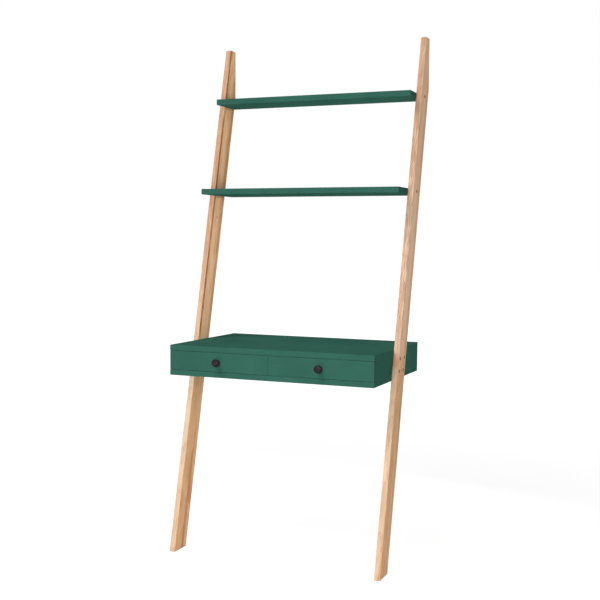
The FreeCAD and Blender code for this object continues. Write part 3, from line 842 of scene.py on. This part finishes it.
def set_bolts(model, node, material):
    """A copy of the bolt at each bolt of a node, with its head on the rail's outer side."""
    for index, (low, high) in enumerate(loose_boxes(node)):
        side = 1 if low.x + high.x > 0 else -1
        face_x = high.x if side > 0 else low.x
        head_height = bpy.context.scene.desk_fasteners.head_height
        seat = Vector((face_x - side * head_height, (low.y + high.y) / 2, (low.z + high.z) / 2))
        turn = Matrix.Rotation(0 if side > 0 else math.pi, 4, "Z")
        name = node.replace("_bolts", "_bolt_") + str(index + 1)
        piece = copy_to(model, name, Matrix.Translation(seat) @ turn)
        finish_piece(piece, material, "frame", node)


def model_screw(head_radius, shank_radius, length_value, cross_share):
    """A countersunk screw that points down from the origin, with a cross slot in its flat head."""
    neck = head_radius - shank_radius
    rim = 0.25 * MM
    point = 4 * shank_radius
    deselect()
    bpy.ops.mesh.primitive_circle_add(vertices=28, radius=head_radius, fill_type="NGON")
    piece = edit_faces()
    extrude_along(-UP, rim, 1, (0, 0, 0))
    extrude_along(-UP, neck - rim, shank_radius / head_radius, (0, 0, -neck))
    extrude_along(-UP, length_value - neck - point, 1, (0, 0, 0))
    extrude_along(-UP, point, 0.15, (0, 0, -length_value))
    finish_normals()
    slot_width = 2 * head_radius * cross_share
    cut_with(piece, cross_slot(slot_width, thickness=0.24 * head_radius, depth=0.55 * head_radius))
    bpy.ops.object.shade_smooth_by_angle(angle=math.radians(35))
    return piece


def cross_slot(width, thickness, depth):
    """Two tapering bars, crossed, that cut a screw's slot."""
    bars = []
    for turn in (0, math.pi / 2):
        deselect()
        bpy.ops.mesh.primitive_cube_add(size=1, scale=(width, thickness, 2 * depth), rotation=(0, 0, turn))
        bar = edit_faces()
        pick_faces(bar, lambda face: face.normal.z < -0.9)
        bpy.ops.transform.resize(value=(0.45, 0.45, 1), center_override=(0, 0, -depth))
        bpy.ops.object.mode_set(mode="OBJECT")
        bars.append(bar)
    return bars


def set_screws(node, heading, fastener, material):
    """Cross-slotted screws in place of a node's plain ones. Heading is the way that their heads face."""
    boxes = loose_boxes(node)
    axis = max(range(3), key=lambda index: abs(heading[index]))
    across = (axis + 1) % 3
    sizes = boxes[0][1] - boxes[0][0]
    shank_radius = screw_shank(node, axis, across)
    model = model_screw(sizes[across] / 2, shank_radius, sizes[axis], fastener.cross_share)
    turn = UP.rotation_difference(heading).to_matrix().to_4x4()
    for index, (low, high) in enumerate(boxes):
        seat = (low + high) / 2 + heading * sizes[axis] / 2
        name = node.replace("_screws", "_screw_") + str(index + 1)
        piece = copy_to(model, name, Matrix.Translation(seat) @ turn)
        finish_piece(piece, material, "frame", node)
    bpy.data.objects.remove(model)


def screw_shank(node, axis, across):
    """The shank's radius, read from the narrowest ring of points of a node's first screw."""
    low, high = loose_boxes(node)[0]
    middle = (low + high) / 2
    inside = (high - low)[across] / 2
    radii = set()
    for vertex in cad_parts[node].data.vertices:
        offset = vertex.co - middle
        offset[axis] = 0
        if 0.1 * MM < offset.length < inside + 0.1 * MM:
            radii.add(round(offset.length, 5))
    return min(radii)


# ---- Stage ----
def aim_camera(stage):
    """A camera that looks along its heading, dipped and rolled as the settings say."""
    yaw, dip, roll = stage.camera_heading, stage.camera_dip, stage.camera_roll
    forward = Vector((-math.sin(yaw), math.cos(yaw), 0))
    right = Vector((math.cos(yaw), math.sin(yaw), 0))
    view = forward * math.cos(dip) - UP * math.sin(dip)
    top = UP * math.cos(dip) + forward * math.sin(dip)
    x = right * math.cos(roll) + top * math.sin(roll)
    y = top * math.cos(roll) - right * math.sin(roll)
    turn = Matrix((x, y, -view)).transposed().to_4x4()
    data = bpy.data.cameras.new("desk_camera")
    camera = bpy.data.objects.new("desk_camera", data)
    bpy.context.scene.collection.objects.link(camera)
    camera.matrix_world = Matrix.Translation(stage.camera_place) @ turn
    data.lens = stage.lens
    data.sensor_width = 36
    data.shift_y = stage.shift
    data.clip_start = 0.05
    data.clip_end = 200
    bpy.context.scene.camera = camera


def soft_light(name, place, size, watts):
    """A square lamp that faces the middle of the desk."""
    middle = Vector((0, 0, 0.9))
    data = bpy.data.lights.new(name, "AREA")
    data.shape = "SQUARE"
    data.size = size
    data.energy = watts
    light = bpy.data.objects.new(name, data)
    bpy.context.scene.collection.objects.link(light)
    light.location = place
    light.rotation_euler = (middle - Vector(place)).to_track_quat("-Z", "Y").to_euler()


def seen_directly(shader):
    """1 for rays from the camera and for those that metal and glass send on."""
    camera, glossy, transmission = [
        shader.add("ShaderNodeLightPath", output=name)
        for name in ("Is Camera Ray", "Is Glossy Ray", "Is Transmission Ray")
    ]
    return camera.larger(glossy).larger(transmission)


def pale_floor(stage):
    """A pale floor that the camera sees mostly unlit, so that the desk's shadow on it stays faint."""
    shader = new_shader("pale_floor")
    place = shader.place()
    x, y, z = shader.axes(place)
    near_end, far_start = 1.6, 4
    far = ((x * x + y * y) ** 0.5).step(near_end, far_start)
    clouds = shader.noise(place, cube(0.5), detail=3)
    tone = shader.mix(stage.floor_colour, shade(stage.floor_colour, 0.985), clouds)
    lit = shader.add("ShaderNodeBsdfDiffuse", None, {"Color": tone})
    glow = shader.add("ShaderNodeEmission", None, {"Color": (1, 1, 1, 1), "Strength": 1.15})
    unlit = seen_directly(shader) * (stage.floor_glow + far * (1 - stage.floor_glow))
    return shader.end(shader.add("ShaderNodeMixShader", None, {0: unlit, 1: lit, 2: glow}))


def studio_world(stage):
    """An even pale surround that the camera, metal and glass see as white."""
    shader = Shader(bpy.data.worlds.new("studio"))
    direct = seen_directly(shader)
    strength = stage.ambient + direct * (1 - stage.ambient)
    surround = shader.add("ShaderNodeBackground", None, {"Color": (1, 1, 1, 1), "Strength": strength})
    return shader.end(surround, "ShaderNodeOutputWorld")


# ---- Operators ----
class DESK_OT_rails(bpy.types.Operator):
    """Give the two leaning rails their sawn timber"""

    bl_idname = "desk.rails"
    bl_label = "Rails"
    bl_options = {"REGISTER", "UNDO"}

    def execute(self, context):
        wood = context.scene.desk_timber
        # Painted shade under each shelf's ends, in place of the shelves' contact shadows on the rails.
        shades = [painted_contact_shade(wood, shelf, 0.5) for shelf in ("top_shelf", "middle_shelf")]
        finish_rail("left_rail", wood, seed=2, marks=left_rail_marks(wood) + shades)
        finish_rail("right_rail", wood, seed=23, marks=right_rail_marks(wood) + shades)
        return {"FINISHED"}


class DESK_OT_painted_boards(bpy.types.Operator):
    """Paint the shelves, the desk box and the drawer fronts"""

    bl_idname = "desk.painted_boards"
    bl_label = "Painted boards"
    bl_options = {"REGISTER", "UNDO"}

    def execute(self, context):
        for name in PAINTED_BOARDS:
            dress(name, painted_board(name, context.scene.desk_paint))
        return {"FINISHED"}


class DESK_OT_knobs(bpy.types.Operator):
    """Turn a knob for each drawer"""

    bl_idname = "desk.knobs"
    bl_label = "Knobs"
    bl_options = {"REGISTER", "UNDO"}

    def execute(self, context):
        knob = context.scene.desk_knob
        enamel = knob_enamel(knob)
        for drawer in DRAWERS:
            node = drawer + "_knob"
            finish_piece(turn_knob(node, knob), enamel, drawer, node)
        return {"FINISHED"}


class DESK_OT_bolts(bpy.types.Operator):
    """Make the connector bolts that hold the desk box and the shelves to the rails"""

    bl_idname = "desk.bolts"
    bl_label = "Connector bolts"
    bl_options = {"REGISTER", "UNDO"}

    def execute(self, context):
        fastener = context.scene.desk_fasteners
        bronze = bronzed_steel(fastener)
        model = model_bolt(fastener)
        set_bolts(model, "desk_bolts", bronze)
        set_bolts(model, "shelf_bolts", bronze)
        bpy.data.objects.remove(model)
        return {"FINISHED"}


class DESK_OT_screws(bpy.types.Operator):
    """Make the screws of the back panel, the desk's bottom and the wall plates"""

    bl_idname = "desk.screws"
    bl_label = "Screws"
    bl_options = {"REGISTER", "UNDO"}

    def execute(self, context):
        fastener = context.scene.desk_fasteners
        zinc = plated_steel("zinc_screws", fastener.zinc, roughness=0.3)
        for node, heading in (("back_screws", TO_WALL), ("carcass_screws", -UP), ("hanger_screws", TO_WALL)):
            set_screws(node, heading, fastener, zinc)
        return {"FINISHED"}


class DESK_OT_drawer_boxes(bpy.types.Operator):
    """Give the drawer boxes their pale timber and thin bottom boards"""

    bl_idname = "desk.drawer_boxes"
    bl_label = "Drawer boxes"
    bl_options = {"REGISTER", "UNDO"}

    def execute(self, context):
        panel = fibre_board("drawer_bottom_board", context.scene.desk_drawer_boxes.panel)
        for drawer in DRAWERS:
            dress(drawer + "_bottom", panel)
            dress(drawer + "_back", drawer_birch(drawer + "_back_birch", along=X, seed=len(drawer)))
            for seed, hand in enumerate(HANDS):
                name = drawer + "_" + hand + "_side"
                dress(name, drawer_birch(name + "_birch", along=Y, seed=seed))
        return {"FINISHED"}


class DESK_OT_hardware(bpy.types.Operator):
    """Finish the runners, balls, inner screws, inserts, dowels and wall plates"""

    bl_idname = "desk.hardware"
    bl_label = "Inner hardware"
    bl_options = {"REGISTER", "UNDO"}

    def execute(self, context):
        fastener = context.scene.desk_fasteners
        zinc = plated_steel("zinc_plate", fastener.zinc, roughness=0.34)
        polished = plated_steel("polished_balls", fastener.polished, roughness=0.16)
        beech = drawer_birch("dowel_beech", along=Z, seed=71)
        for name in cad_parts:
            if name.endswith("_dowels"):
                dress(name, beech)
            elif name.endswith("_balls"):
                dress(name, polished)
            elif name.endswith(("_runner", "_cage", "_screws", "_screw", "_inserts", "_hanger")):
                dress(name, zinc)
        return {"FINISHED"}


class DESK_OT_stage(bpy.types.Operator):
    """Set the floor, the lights and the camera"""

    bl_idname = "desk.stage"
    bl_label = "Stage"
    bl_options = {"REGISTER", "UNDO"}

    def execute(self, context):
        stage = context.scene.desk_stage
        context.scene.view_settings.view_transform = "Standard"
        deselect()
        bpy.ops.mesh.primitive_plane_add(size=60)
        floor = bpy.context.object
        floor.name = "studio_floor"
        floor.data.materials.append(pale_floor(stage))
        context.scene.world = studio_world(stage)
        soft_light("front_light", place=(0.3, -2.2, 1.2), size=0.7, watts=stage.front_power)
        soft_light("side_light", place=(9, -3, 1), size=5, watts=stage.side_power)
        soft_light("top_light", place=(-1.8, -4, 7.5), size=3.5, watts=stage.top_power)
        soft_light("back_light", place=(0.32, 1.3, 0.9), size=0.8, watts=stage.back_power)
        aim_camera(stage)
        return {"FINISHED"}


class DESK_PT_panel(bpy.types.Panel):
    """Lists the desk's pieces and their settings"""

    bl_idname = "DESK_PT_panel"
    bl_label = "Ladder Desk"
    bl_space_type = "VIEW_3D"
    bl_region_type = "UI"
    bl_category = "Ladder Desk"

    def draw(self, context):
        for operator in OPERATORS:
            self.layout.operator(operator.bl_idname)
        for name, kind in SETTINGS.items():
            box = self.layout.box()
            box.label(text=name.replace("desk_", "").replace("_", " ").capitalize())
            for key in kind.__annotations__:
                box.prop(getattr(context.scene, name), key)


SETTINGS = {
    "desk_timber": TimberSettings,
    "desk_paint": PaintSettings,
    "desk_knob": KnobSettings,
    "desk_drawer_boxes": DrawerBoxSettings,
    "desk_fasteners": FastenerSettings,
    "desk_stage": StageSettings,
}
OPERATORS = (
    DESK_OT_rails,
    DESK_OT_painted_boards,
    DESK_OT_knobs,
    DESK_OT_bolts,
    DESK_OT_screws,
    DESK_OT_drawer_boxes,
    DESK_OT_hardware,
    DESK_OT_stage,
)


def register():
    for kind in (*SETTINGS.values(), *OPERATORS, DESK_PT_panel):
        bpy.utils.register_class(kind)
    for name, kind in SETTINGS.items():
        setattr(bpy.types.Scene, name, bpy.props.PointerProperty(type=kind))


def unregister():
    for name in SETTINGS:
        delattr(bpy.types.Scene, name)
    for kind in reversed((*SETTINGS.values(), *OPERATORS, DESK_PT_panel)):
        bpy.utils.unregister_class(kind)


def corners(box):
    return [list(corner) for corner in box]


def main():
    register()
    bpy.ops.desk.rails()
    bpy.ops.desk.painted_boards()
    bpy.ops.desk.knobs()
    bpy.ops.desk.bolts()
    bpy.ops.desk.screws()
    bpy.ops.desk.drawer_boxes()
    bpy.ops.desk.hardware()
    bpy.ops.desk.stage()


if __name__ == "__main__":
    main()
